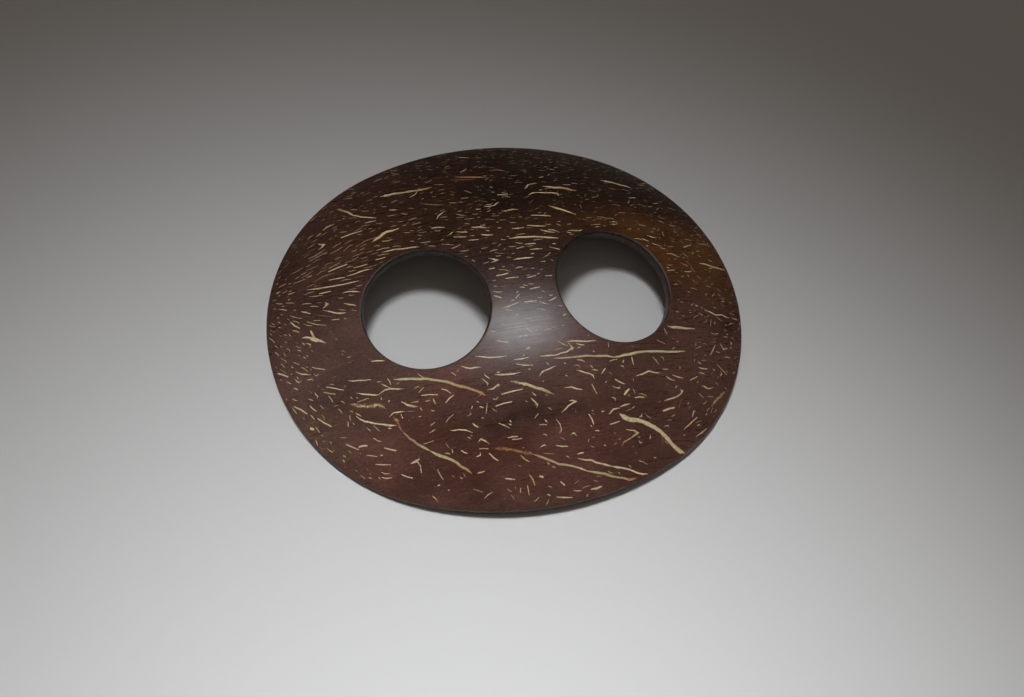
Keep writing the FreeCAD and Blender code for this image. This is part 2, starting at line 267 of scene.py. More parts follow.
    (CREAM, CREAM, FINE, ((6.2, 12.3), (8.7, 11.5))),
    (CREAM, CREAM, WIDE, ((-0.3, 6.4), (1.5, 6.5), (3.5, 6.5))),
    (CREAM, CREAM, FINE, ((-4.6, 7.3), (-3, 6.7), (-4.4, 6.4))),
    (CREAM, CREAM, FINE, ((2.5, 9.4), (4.5, 9.4))),
    (CREAM, CREAM, FINE, ((3.2, 8.2), (5.5, 8.1))),
    (CREAM, CREAM, FINE, ((-4, 3.6), (-1.8, 3.8))),
    (CREAM, CREAM, FINE, ((-2.5, 2.8), (-0.2, 2.8))),
    (CREAM, CREAM, FINE, ((1.4, 2.5), (2.9, 2.7))),
    (CREAM, CREAM, FINE, ((4.7, 2.5), (5.9, 2.4))),
    (CREAM, CREAM, FINE, ((1.4, 0.2), (3.2, 0.4))),
    (CREAM, CREAM, FINE, ((-5.2, -0.2), (-4, -0.8))),
    (CREAM, CREAM, FINE, ((-1.5, -1.2), (-0.7, -0.5))),
    (CREAM, CREAM, FINE, ((-5, 5.1), (-4, 5.2))),
    (CREAM, CREAM, FINE, ((-0.3, 4.6), (1, 4.7))),
    (CREAM, ORANGE, FINE, ((-4.4, -2.7), (-2, -2.3), (-0.6, -2))),
    (CREAM, CREAM, FINE, ((4.3, -2.4), (5.7, -1.9))),
    # far right and right end
    (YELLOW, GREEN, 0.45, ((22.3, 24.9), (24.5, 24.5), (26.5, 23.8), (28.5, 23.2))),
    (CREAM, CREAM, FINE, ((30.3, 6.4), (31.5, 6.4), (33.3, 5.7))),
    (CREAM, PINK, 0.50, ((37.5, 4.7), (40, 4.3), (42.5, 3.9), (43.6, 3.7))),
    (CREAM, CREAM, FINE, ((26, 9.7), (27.3, 9.1))),
    (CREAM, CREAM, FINE, ((27.5, 10.5), (29.3, 10))),
    (CREAM, CREAM, FINE, ((28, 8.6), (29.8, 8.1))),
    (CREAM, CREAM, FINE, ((35, 8.2), (37, 8.9))),
    (CREAM, CREAM, FINE, ((33.2, 2.5), (34.8, 2.7))),
    (TAN, TAN, FINE, ((18.3, 14.9), (21.5, 14.3))),
    (CREAM, CREAM, FINE, ((26.1, 18.6), (26.8, 19.6))),
    (TAN, TAN, FINE, ((15.6, 18), (15.6, 17))),
    (CREAM, CREAM, FINE, ((26.8, 20.2), (28.5, 20.3))),
)

# Veins that lie a little below the surface and show faintly.
BURIED_VEINS = (
    (CREAM, CREAM, 1.00, ((-32, -14.1), (-30.5, -14.8), (-29, -15.2), (-27.5, -15.3), (-26.3, -16.2))),
    (ORANGE, PINK, 0.95, ((-9.5, -26), (-8, -26.2), (-6.5, -26.7), (-4.5, -27.4), (-3, -27.9))),
    (CREAM, CREAM, 0.90, ((32.2, -23.4), (34, -22), (36, -20.8))),
    (CREAM, CREAM, 0.80, ((-5.2, -15.6), (-3.9, -16.1), (-2.2, -16.8))),
    (ORANGE, ORANGE, 0.80, ((-25.3, -17.6), (-24.7, -18.8), (-24.4, -19.9), (-23.8, -20.9))),
)

# Soft stains in the shell: centre x, y, reach in x, reach in y, strength.
AMBER_STAINS = (
    (28, 9, 9, 6, 0.95),
    (37, 6, 8, 7, 1.1),
    (19, 14.5, 10, 3.0, 0.45),
    (42, 3, 5, 6, 0.7),
    (2, 14, 9, 2.5, 0.15),
    (-24, 15, 8, 4, 0.3),
    (-30, -14.8, 4, 2, 0.45),
)
RED_STAINS = (
    (-6.5, -26.8, 5, 1.6, 0.9),
    (4, -24, 26, 9, 0.55),
    (-22, -21, 9, 5, 0.5),
    (-1, -17.5, 5, 2, 0.5),
    (10, -13, 10, 1.6, 0.6),
    (-16, -14, 8, 2, 0.5),
    (-4, 27.4, 5, 1.5, 0.6),
)
DARK_STAINS = (
    (1, -21, 9, 2.6, 0.8),
    (-9, -22, 5, 2.2, 0.7),
    (5, 24, 16, 5, 0.6),
    (-33, 8, 6, 8, 0.35),
    (20, 27, 9, 4, 0.5),
    (16, -20, 6, 2, 0.35),
)
WORN_PATCHES = (
    (-38.5, -17, 3.2, 4.5, 0.9),
    (-33, -22.5, 5, 2.2, 0.6),
    (34.5, -22, 2.4, 2, 0.5),
    (-8, -34.6, 16, 1.4, 0.35),
)


def dome_height(axes, x, y):
    """Height of an ellipsoid above the ground plane."""
    inside = 1.0 - (x / axes[0]) ** 2 - (y / axes[1]) ** 2
    return axes[2] * np.sqrt(inside) - CENTRE_DROP


def dome_normal(axes, x, y):
    """Unit normal of an ellipsoid, pointing away from its centre."""
    z = dome_height(axes, x, y) + CENTRE_DROP
    n = np.stack([x / axes[0] ** 2, y / axes[1] ** 2, z / axes[2] ** 2], axis=-1)
    return n / np.linalg.norm(n, axis=-1, keepdims=True)


def hole_axis(x):
    """A point on the axis of the hole drilled at x, and the direction of the axis."""
    start = (x, 0.0, dome_height(OUTER_AXES, x, 0.0))
    return start, dome_normal(OUTER_AXES, x, 0.0)


HOLES = [hole_axis(x) for x in HOLE_PLACES]


def oval_point(angle):
    """Point of the outline whose outward direction is at this angle."""
    c, s = math.cos(angle), math.sin(angle)
    if abs(c) > math.cos(ARC_JOIN):
        return math.copysign(END_CENTRE, c) + END_RADIUS * c, END_RADIUS * s
    return SIDE_RADIUS * c, SIDE_RADIUS * s - math.copysign(SIDE_CENTRE, s)


def outline(steps):
    """Evenly spaced points of the outline and their outward directions."""
    angles = np.linspace(0, 2 * math.pi, 4001)
    path = np.array([oval_point(a) for a in angles])
    run = np.concatenate([[0], np.cumsum(np.linalg.norm(np.diff(path, axis=0), axis=1))])
    picked = np.interp(np.arange(steps) / steps * run[-1], run, angles)
    points = np.array([oval_point(a) for a in picked])
    return points, np.stack([np.cos(picked), np.sin(picked)], axis=1)


def turn_between(a, b, steps):
    """Unit directions that turn evenly from a to b, both included."""
    cosine = np.clip(np.sum(a * b, axis=1, keepdims=True), -1, 1)
    whole = np.arccos(cosine)
    rows = []
    for t in np.linspace(0, 1, steps):
        rows.append((np.sin((1 - t) * whole) * a + np.sin(t * whole) * b) / np.sin(whole))
    return rows


def rim_rows():
    """Rows of (points, normals) from the top surface round the rim to the underside."""
    points, out = outline(RIM_STEPS)
    out3 = np.column_stack([out, np.zeros(len(out))])
    middle = points - RIM_ROUND * out
    touch = middle.copy()
    for _ in range(6):
        up = dome_normal(OUTER_AXES, touch[:, 0], touch[:, 1])
        touch = middle + RIM_ROUND * up[:, :2]
    height = dome_height(OUTER_AXES, touch[:, 0], touch[:, 1]) - RIM_ROUND * up[:, 2]
    centre = np.column_stack([middle, height])
    rows = [(centre + RIM_ROUND * n, n) for n in turn_between(up, out3, RIM_TURN)]
    foot = np.column_stack([points - FOOT_ROUND * out, np.full(len(points), FOOT_ROUND)])
    down = np.tile([0.0, 0.0, -1.0], (len(points), 1))
    wall = np.column_stack([points, 0.5 * (height + FOOT_ROUND)])
    rows.append((wall, out3))
    rows += [(foot + FOOT_ROUND * n, n) for n in turn_between(out3, down, FOOT_TURN)]
    # The flat land that the buckle rests on, as far as the lip of the hollow.
    scale = 1.0 / np.hypot(points[:, 0] / LIP_X, points[:, 1] / LIP_Y)
    edge = points * scale[:, None]
    rows.append((np.column_stack([edge + LIP_EDGE * out, np.zeros(len(edge))]), down))
    inner = edge - LIP_EDGE * out
    inner3 = np.column_stack([inner, dome_height(INNER_AXES, inner[:, 0], inner[:, 1])])
    rows.append((inner3, -dome_normal(INNER_AXES, inner[:, 0], inner[:, 1])))
    return rows


def hole_rows(hole):
    """Rows of (points, normals) from the top surface down through one hole."""
    start, axis = map(np.array, hole)
    across = np.array([axis[2], 0.0, -axis[0]])
    angles = np.arange(HOLE_STEPS) * 2 * math.pi / HOLE_STEPS
    away = np.outer(np.cos(angles), across) + np.outer(np.sin(angles), [0.0, 1.0, 0.0])
    ring = start + (HOLE_RADIUS + HOLE_ROUND) * away

    def corner(axes, side):
        slide = np.zeros(len(ring))
        for _ in range(12):
            centre = ring + slide[:, None] * axis
            normal = side * dome_normal(axes, centre[:, 0], centre[:, 1])
            for _ in range(3):
                touch = centre + HOLE_ROUND * normal
                normal = side * dome_normal(axes, touch[:, 0], touch[:, 1])
            gap = dome_height(axes, touch[:, 0], touch[:, 1]) - touch[:, 2]
            slide += gap / axis[2]
        return centre, normal

    top, up = corner(OUTER_AXES, 1.0)
    bottom, down = corner(INNER_AXES, -1.0)
    rows = [(top + HOLE_ROUND * n, n) for n in turn_between(up, -away, HOLE_TURN)]
    middle = 0.5 * (top + bottom) - HOLE_ROUND * away
    rows.append((middle, -away))
    rows += [(bottom + HOLE_ROUND * n, n) for n in turn_between(-away, down, HOLE_TURN)]
    return rows


def inside_shell(x, y, margin):
    """Whether a point of the top surface is clear of the outline and the holes."""
    if abs(x) > END_CENTRE and math.hypot(abs(x) - END_CENTRE, y) > END_RADIUS - margin:
        return False
    if math.hypot(x, abs(y) + SIDE_CENTRE) > SIDE_RADIUS - margin:
        return False
    for start, axis in HOLES:
        if math.hypot((x - start[0]) / axis[2], y) < HOLE_RADIUS + HOLE_ROUND + margin:
            return False
    return True


def inside_hollow(x, y, margin):
    """Whether a point of the underside is clear of the lip and the holes."""
    if math.hypot(x / LIP_X, y / LIP_Y) > 1.0 - margin / LIP_Y:
        return False
    return inside_shell(x, y, margin)


class Fibre:
    """A pale fibre in the surface: a bent line with a half width at each point."""

    def __init__(self, points, width, start_colour, end_colour, strength=1.0):
        self.points = [Vector(p) for p in points]
        count = len(self.points)
        self.start_colour = start_colour
        self.end_colour = end_colour
        self.strength = strength
        self.radii = []
        for i in range(count):
            taper = 1.0
            if i in (0, count - 1):
                taper = 0.3 if count > 3 else 0.65
            self.radii.append(0.5 * width * taper)
        self.lengths = [0.0]
        for a, b in zip(self.points, self.points[1:]):
            self.lengths.append(self.lengths[-1] + (b - a).length)

    def side(self, i):
        """Unit vector across the line at point i."""
        before = self.points[max(i - 1, 0)]
        after = self.points[min(i + 1, len(self.points) - 1)]
        along = (after - before).normalized()
        return Vector((-along.y, along.x))

    def ring(self):
        """Closed outline round the line."""
        last = len(self.points) - 1
        first_dir = (self.points[0] - self.points[1]).normalized()
        last_dir = (self.points[last] - self.points[last - 1]).normalized()
        left = [self.points[i] + self.side(i) * self.radii[i] for i in range(last + 1)]
        right = [self.points[i] - self.side(i) * self.radii[i] for i in range(last, -1, -1)]
        tip_start = self.points[0] + first_dir * self.radii[0]
        tip_end = self.points[last] + last_dir * self.radii[last]
        return [tip_start] + left + [tip_end] + right


def refine(points, wobble):
    """Adds a point in each span of a listed vein, a little off the line."""
    fine = []
    for a, b in zip(points, points[1:]):
        fine.append(a)
        step = Vector(b) - Vector(a)
        if step.length > 1.3:
            across = Vector((-step.y, step.x)).normalized()
            middle = Vector(a) + step * 0.5 + across * rng.uniform(-wobble, wobble)
            fine.append(tuple(middle))
    fine.append(points[-1])
    return fine


def typed_fibres():
    """The listed veins, made slightly uneven and pulled clear of the edges."""
    fibres = []
    listed = [(vein, 1.0) for vein in VEINS] + [(vein, BURIED_STRENGTH) for vein in BURIED_VEINS]
    for (start_colour, end_colour, width, points), strength in listed:
        fibre = Fibre(refine(points, 0.12), width, start_colour, end_colour, strength)
        for i in range(len(fibre.radii)):
            fibre.radii[i] *= rng.uniform(0.8, 1.15)
        for i, point in enumerate(fibre.points):
            while not inside_shell(point.x, point.y, fibre.radii[i] + 0.15) and point.length > 15:
                point = point * 0.995
            fibre.points[i] = point
        fibres.append(fibre)
    return fibres


def fleck_style(x, y):
    """Direction, spread, length range, width range, strength range and density of flecks here."""
    toward = math.degrees(math.atan2(y - 9, x + 50))
    # The fan of long rays left of the left hole, then the nearly bare patch under the fan.
    if -39 < x < -24 and 1 < y < 17:
        return toward, 5, (0.9, 4.2), (0.10, 0.17), (0.45, 1.0), 0.85
    if -37 < x < -25 and -10 < y <= 1:
        return -20, 30, (0.3, 0.9), (0.10, 0.2), (0.2, 0.8), 0.10
    # The crowded left tip, the lower left and the right end.
    if x < -30 and y > -8:
        return max(-50, toward), 10, (0.35, 2.0), (0.11, 0.2), (0.4, 1.0), 1.35
    if x < -30:
        return -48, 22, (0.35, 1.4), (0.12, 0.22), (0.35, 1.0), 0.42
    if x > 30:
        lean = 35 if y < -18 else -5
        return lean, 32, (0.35, 1.7), (0.13, 0.24), (0.25, 0.9), 0.55
    # The far half, the belt with the holes, the lower right and the rest of the near half.
    if y > 14:
        return 0, 16, (0.4, 1.9), (0.12, 0.22), (0.15, 0.75), 0.65
    if y > -9:
        return -3, 14, (0.5, 2.3), (0.14, 0.26), (0.3, 1.0), 0.42
    if x > 25 and y < -18:
        return 35, 22, (0.35, 1.9), (0.15, 0.26), (0.3, 1.0), 0.30
    return -18, 38, (0.3, 2.0), (0.15, 0.3), (0.3, 1.0), 0.23


def fleck_colour():
    """A pale colour for a short fibre."""
    pick = rng.random()
    if pick < 0.62:
        base = CREAM
    elif pick < 0.78:
        base = YELLOW
    elif pick < 0.88:
        base = GREEN
    else:
        base = TAN
    shade = rng.uniform(0.8, 1.08)
    return tuple(c * shade for c in base)


def scattered_fibres(taken):
    """Short flecks at random places that keep clear of each other and of the veins."""
    cells = {}

    def near(point, gap):
        cx, cy = int(point.x // 1.0), int(point.y // 1.0)
        for i in range(cx - 1, cx + 2):
            for j in range(cy - 1, cy + 2):
                for other in cells.get((i, j), ()):
                    if (other - point).length < gap:
                        return True
        return False

    def samples(fibre):
        marks = []
        for a, b in zip(fibre.points, fibre.points[1:]):
            count = max(1, int((b - a).length / 0.3))
            marks += [a.lerp(b, k / count) for k in range(count + 1)]
        return marks

    def remember(marks):
        for mark in marks:
            cells.setdefault((int(mark.x // 1.0), int(mark.y // 1.0)), []).append(mark)

    for fibre in taken:
        remember(samples(fibre))
    fibres = []
    for _ in range(FLECK_TRIES):
        x, y = rng.uniform(-44, 44), rng.uniform(-36, 36)
        if not inside_shell(x, y, 0.5):
            continue
        lean, spread, lengths, widths, strengths, density = fleck_style(x, y)
        patchy = 1.0 + 1.3 * noise.noise((x * 0.22, y * 0.35, 0.0))
        if rng.random() > density * patchy * DENSITY_SCALE:
            continue
        angle = math.radians(lean + rng.gauss(0, spread))
        half = 0.5 * (lengths[0] + (lengths[1] - lengths[0]) * rng.random() ** 1.7)
        along = Vector((math.cos(angle), math.sin(angle)))
        across = Vector((-along.y, along.x))
        centre = Vector((x, y))
        bend = rng.uniform(-0.18, 0.18) * half
        points = [centre - along * half, centre + across * bend, centre + along * half]
        if rng.random() < 0.10 and y < 0:
            turn = rng.choice((-1, 1))
            points.append(points[-1] + along * 0.15 + across * turn * rng.uniform(0.3, 0.6))
        if not all(inside_shell(p.x, p.y, 0.3) for p in points):
            continue
        strength = rng.uniform(*strengths)
        colour = fleck_colour()
        fibre = Fibre(points, rng.uniform(*widths), colour, colour, strength)
        marks = samples(fibre)
        if any(near(mark, FLECK_GAP) for mark in marks):
            continue
        remember(marks)
        fibres.append(fibre)
    return fibres


def spots(x, y, patches):
    """Sum of soft round patches at each point, at most 1."""
    total = np.zeros(len(x))
    for cx, cy, rx, ry, strength in patches:
        total += strength * np.exp(-((x - cx) / rx) ** 2 - ((y - cy) / ry) ** 2)
    return np.minimum(total, 1.0)


def fibre_values(x, y, fibres):
    """How far inside a fibre each point is (0 to 1), and the fibre's colour there."""
    mask = np.zeros(len(x))
    colour = np.tile(np.array(CREAM), (len(x), 1))
    best = np.full(len(x), -1.0)
    for fibre in fibres:
        total = max(fibre.lengths[-1], 1e-6)
        for i, (a, b) in enumerate(zip(fibre.points, fibre.points[1:])):
            reach = max(fibre.radii[i], fibre.radii[i + 1]) * 1.6
            near = np.nonzero(
                (x > min(a.x, b.x) - reach) & (x < max(a.x, b.x) + reach)
                & (y > min(a.y, b.y) - reach) & (y < max(a.y, b.y) + reach))[0]
            if len(near) == 0:
                continue
            step = b - a
            t = ((x[near] - a.x) * step.x + (y[near] - a.y) * step.y) / step.length_squared
            t = np.clip(t, 0, 1)
            gap = np.hypot(x[near] - a.x - t * step.x, y[near] - a.y - t * step.y)
            radius = fibre.radii[i] + t * (fibre.radii[i + 1] - fibre.radii[i])
            value = 1.0 - gap / radius
            better = value > best[near]
            rows = near[better]
            best[rows] = value[better]
            mask[rows] = np.maximum(value[better], 0) * fibre.strength
            run = (fibre.lengths[i] + t[better] * step.length) / total
            start = np.array(fibre.start_colour)
            end = np.array(fibre.end_colour)
            colour[rows] = start + run[:, None] ** 1.5 * (end - start)
    return mask, colour


def triangulate(loops, fibres, is_inside, margin):
    """Fills the area between the loops, with every fibre's outline and middle line as edges."""
    points = []
    edges = []
    owner = []

    def add(chain, closed, tag):
        first = len(points)
        points.extend(Vector(p) for p in chain)
        owner.extend([tag] * len(chain))
        count = len(chain)
        for i in range(count if closed else count - 1):
            edges.append((first + i, first + (i + 1) % count))

    for tag, loop in enumerate(loops):
        add([(p[0], p[1]) for p in loop], True, tag)
    for fibre in fibres:
        add(fibre.ring(), True, -1)
        add(fibre.points, False, -1)
    across = int(45 / GRID_STEP)
    for i in range(-across, across + 1):
        for j in range(-across, across + 1):
            x = (i + 0.5 * (j % 2)) * GRID_STEP
            y = j * GRID_STEP * 0.866
            if is_inside(x, y, margin):
                points.append(Vector((x, y)))
                owner.append(-1)
    made = delaunay_2d_cdt(points, edges, [], 0, 1e-5, True)
    where = made[0]
    tags = []
    for originals in made[3]:
        found = [(owner[k], k) for k in originals if owner[k] >= 0]
        tags.append(found[0] if found else (-1, -1))
    triangles = []
    for face in made[2]:
        holes = {tags[k][0] for k in face}
        if len(holes) == 1 and holes.pop() > 0:
            continue
        triangles.append(tuple(face))
    return where, triangles, tags


class Builder:
    """Collects the vertices of the one closed shell mesh with their values."""

    def __init__(self):
        self.positions = []
        self.normals = []
        self.faces = []
        self.cut = []
        self.under = []
        self.face_uvs = []

    def row(self, points, normals, cut, under):
        """Adds a loop of vertices and returns their numbers."""
        first = len(self.positions)
        self.positions.extend(map(tuple, points))
        self.normals.extend(map(tuple, normals))
        self.cut.extend([cut] * len(points))
        self.under.extend([under] * len(points))
        return list(range(first, first + len(points)))

    def bridge(self, upper, lower, flip, strip):
        """Joins two closed rows with quads laid out in one strip of the texture square."""
        left, bottom, width, height = strip
        count = len(upper)
        for i in range(count):
            j = (i + 1) % count
            quad = [upper[i], lower[i], lower[j], upper[j]]
            u0, u1 = i / count, (i + 1) / count
            corner = [(u0, 0), (u0, 1), (u1, 1), (u1, 0)]
            if flip:
                quad.reverse()
                corner.reverse()
            self.faces.append(quad)
            self.face_uvs.append([(left + width * u, bottom + height * v) for u, v in corner])


def flat_uv(x, y, top):
    """Place in the texture square: the top fills most of it, the underside the strip beside it."""
    left, bottom, width, height = TOP_PLACE if top else UNDER_PLACE
    reach_x = HALF_LENGTH + TEXTURE_EDGE
    reach_y = HALF_WIDTH + TEXTURE_EDGE
    return left + (x + reach_x) / (2 * reach_x) * width, bottom + (y + reach_y) / (2 * reach_y) * height


def shell_mesh():
    """The whole buckle as one closed mesh with fibre, stain and edge values, and painted light."""
    build = Builder()
    top_fibres = typed_fibres()
    top_fibres += scattered_fibres(top_fibres)

    rim = rim_rows()
    holes = [hole_rows(hole) for hole in HOLES]
    top_loops = [rim[0][0]] + [rows[0][0] for rows in holes]
    under_loops = [rim[-1][0]] + [rows[-1][0] for rows in holes]

    rim_rings = []
    for k, (points, normals) in enumerate(rim):
        cut = min(1.0, max(0.0, (k - 2) / 3)) if k < EDGE_ROWS else 0.6
        under = 1.0 if k == len(rim) - 1 else 0.0
        rim_rings.append(build.row(points, normals, cut, under))
    hole_rings = []
    for rows in holes:
        rings = []
        for k, (points, normals) in enumerate(rows):
            last = k == len(rows) - 1
            cut = 0.0 if k == 0 else (0.3 if last else 1.0)
            rings.append(build.row(points, normals, cut, 1.0 if last else 0.0))
        hole_rings.append(rings)

    left, bottom, width, height = RIM_STRIP
    for k in range(len(rim_rings) - 1):
        strip = (left, bottom + k * height, width, height)
        build.bridge(rim_rings[k], rim_rings[k + 1], False, strip)
    left, bottom, width, height = HOLE_STRIP
    for h, rings in enumerate(hole_rings):
        for k in range(len(rings) - 1):
            strip = (left + HOLE_STRIP_SHIFT * h, bottom + k * height, width, height)
            build.bridge(rings[k], rings[k + 1], True, strip)

    def fill(loops, rings, fibres, axes, side):
        """Fills the top (side 1) or the underside (side -1) between its edge rows."""
        is_inside = inside_shell if side > 0 else inside_hollow
        margin = TOP_MARGIN if side > 0 else UNDER_MARGIN
        where, triangles, tags = triangulate(loops, fibres, is_inside, margin)
        starts = np.cumsum([0] + [len(loop) for loop in loops])
        x = np.array([p.x for p in where])
        y = np.array([p.y for p in where])
        number = np.empty(len(where), dtype=int)
        fresh = [i for i, tag in enumerate(tags) if tag[0] < 0]
        mask, _ = fibre_values(x, y, fibres)
        normals = side * dome_normal(axes, x, y)
        heights = dome_height(axes, x, y)
        base = np.column_stack([x, y, heights]) + normals * (FIBRE_RISE * mask)[:, None]
        new = build.row(base[fresh], normals[fresh], 0.0, 0.0 if side > 0 else 1.0)
        for i, k in zip(fresh, new):
            number[i] = k
        for i, (loop, original) in enumerate(tags):
            if loop >= 0:
                number[i] = rings[loop][original - starts[loop]]
        for face in triangles:
            order = face if side > 0 else face[::-1]
            build.faces.append([int(number[k]) for k in order])
            build.face_uvs.append([flat_uv(x[k], y[k], side > 0) for k in order])

    fill(top_loops, [rim_rings[0]] + [rings[0] for rings in hole_rings],
         top_fibres, OUTER_AXES, 1.0)
    fill(under_loops, [rim_rings[-1]] + [rings[-1] for rings in hole_rings],
         [], INNER_AXES, -1.0)

    positions = np.array(build.positions)
    x, y = positions[:, 0], positions[:, 1]
    mask, colour = fibre_values(x, y, top_fibres)
    mask *= 1.0 - np.array(build.under)
    mesh = bpy.data.meshes.new("coconut_shell")
    mesh.from_pydata([tuple(p * MM for p in v) for v in build.positions], [], build.faces)
    layer = mesh.uv_layers.new(name="OFBake")
    layer.data.foreach_set("uv", [c for face in build.face_uvs for uv in face for c in uv])

    def scalar(name, values):
        mesh.attributes.new(name, "FLOAT", "POINT").data.foreach_set("value", values)

    def tint(name, values):
        rgba = np.column_stack([values, np.ones(len(values))]).ravel()
        mesh.attributes.new(name, "FLOAT_COLOR", "POINT").data.foreach_set("color", rgba)

    scalar("fibre", mask)
    scalar("cut", build.cut)
    scalar("under", build.under)
    tint("fibre_colour", colour)
    amber = spots(x, y, AMBER_STAINS)
    red = spots(x, y, RED_STAINS)
    dark = spots(x, y, DARK_STAINS)
    tint("stain", np.column_stack([amber, red, dark]))
    scalar("worn", spots(x, y, WORN_PATCHES))
    # Painted light: the near half is brightened, the left end less so, and the far half darkened and
    # warmed in the colour, standing in for light that falls off towards the far side.
    near_side = 1.0 / (1.0 + np.exp((y + 1) / 5.0))
    left_side = 1.0 / (1.0 + np.exp((x + 22) / 6.0))
    scalar("painted_light_gradient", np.minimum(near_side + 0.55 * left_side * (1 - near_side), 1.0))
    mesh.polygons.foreach_set("use_smooth", [True] * len(mesh.polygons))
    mesh.normals_split_custom_set_from_vertices(build.normals)
    mesh.validate()
    return mesh


class Nodes:
    """Short names for building a shader."""

    def __init__(self, name):
        self.material = bpy.data.materials.new(name)
        self.material.use_nodes = True
        self.tree = self.material.node_tree
        self.tree.nodes.clear()

    def add(self, kind, **settings):
        node = self.tree.nodes.new(kind)
        for key, value in settings.items():
            setattr(node, key, value)
        return node

    def link(self, source, target):
        self.tree.links.new(source, target)

    def set(self, node, **inputs):
        for key, value in inputs.items():
            node.inputs[key.replace("_", " ")].default_value = value

    def attribute(self, name):
        return self.add("ShaderNodeAttribute", attribute_name=name)

    def noise(self, scale, detail, stretch=(1, 1, 1), rough=0.55):
        """Noise in object space, stretched along the axes."""
        place = self.add("ShaderNodeTexCoord")
        mapping = self.add("ShaderNodeMapping")
        mapping.inputs["Scale"].default_value = stretch
        self.link(place.outputs["Object"], mapping.inputs["Vector"])
        node = self.add("ShaderNodeTexNoise")
        self.set(node, Scale=scale, Detail=detail, Roughness=rough)
        self.link(mapping.outputs["Vector"], node.inputs["Vector"])
        return node.outputs["Fac"]

    def band(self, value, low, high, to_low=0.0, to_high=1.0):
        """Smooth step of a value from one range to another."""
        node = self.add("ShaderNodeMapRange", interpolation_type="SMOOTHSTEP")
        self.link(value, node.inputs["Value"])
        node.inputs["From Min"].default_value = low
        node.inputs["From Max"].default_value = high
        node.inputs["To Min"].default_value = to_low
        node.inputs["To Max"].default_value = to_high
        return node.outputs["Result"]

    def math(self, operation, a, b):
        node = self.add("ShaderNodeMath", operation=operation)
        for k, value in enumerate((a, b)):
            if isinstance(value, (int, float)):
                node.inputs[k].default_value = value
            else:
                self.link(value, node.inputs[k])
        return node.outputs[0]

    def mix(self, factor, a, b, blend="MIX"):
        """Blends two colours, each a socket or a plain colour."""
        node = self.add("ShaderNodeMix", data_type="RGBA", blend_type=blend)
        if isinstance(factor, (int, float)):
            node.inputs[0].default_value = factor
        else:
            self.link(factor, node.inputs[0])
        for k, value in ((6, a), (7, b)):
            if isinstance(value, tuple):
                node.inputs[k].default_value = (*value, 1.0)
            else:
                self.link(value, node.inputs[k])
        return node.outputs[2]

    def ramp(self, value, stops):
        node = self.add("ShaderNodeValToRGB")
        elements = node.color_ramp.elements
        while len(elements) > 1:
            elements.remove(elements[-1])
        elements[0].position = stops[0][0]
        elements[0].color = (*stops[0][1], 1)
        for position, colour in stops[1:]:
            elements.new(position).color = (*colour, 1)
        self.link(value, node.inputs["Fac"])
        return node.outputs["Color"]


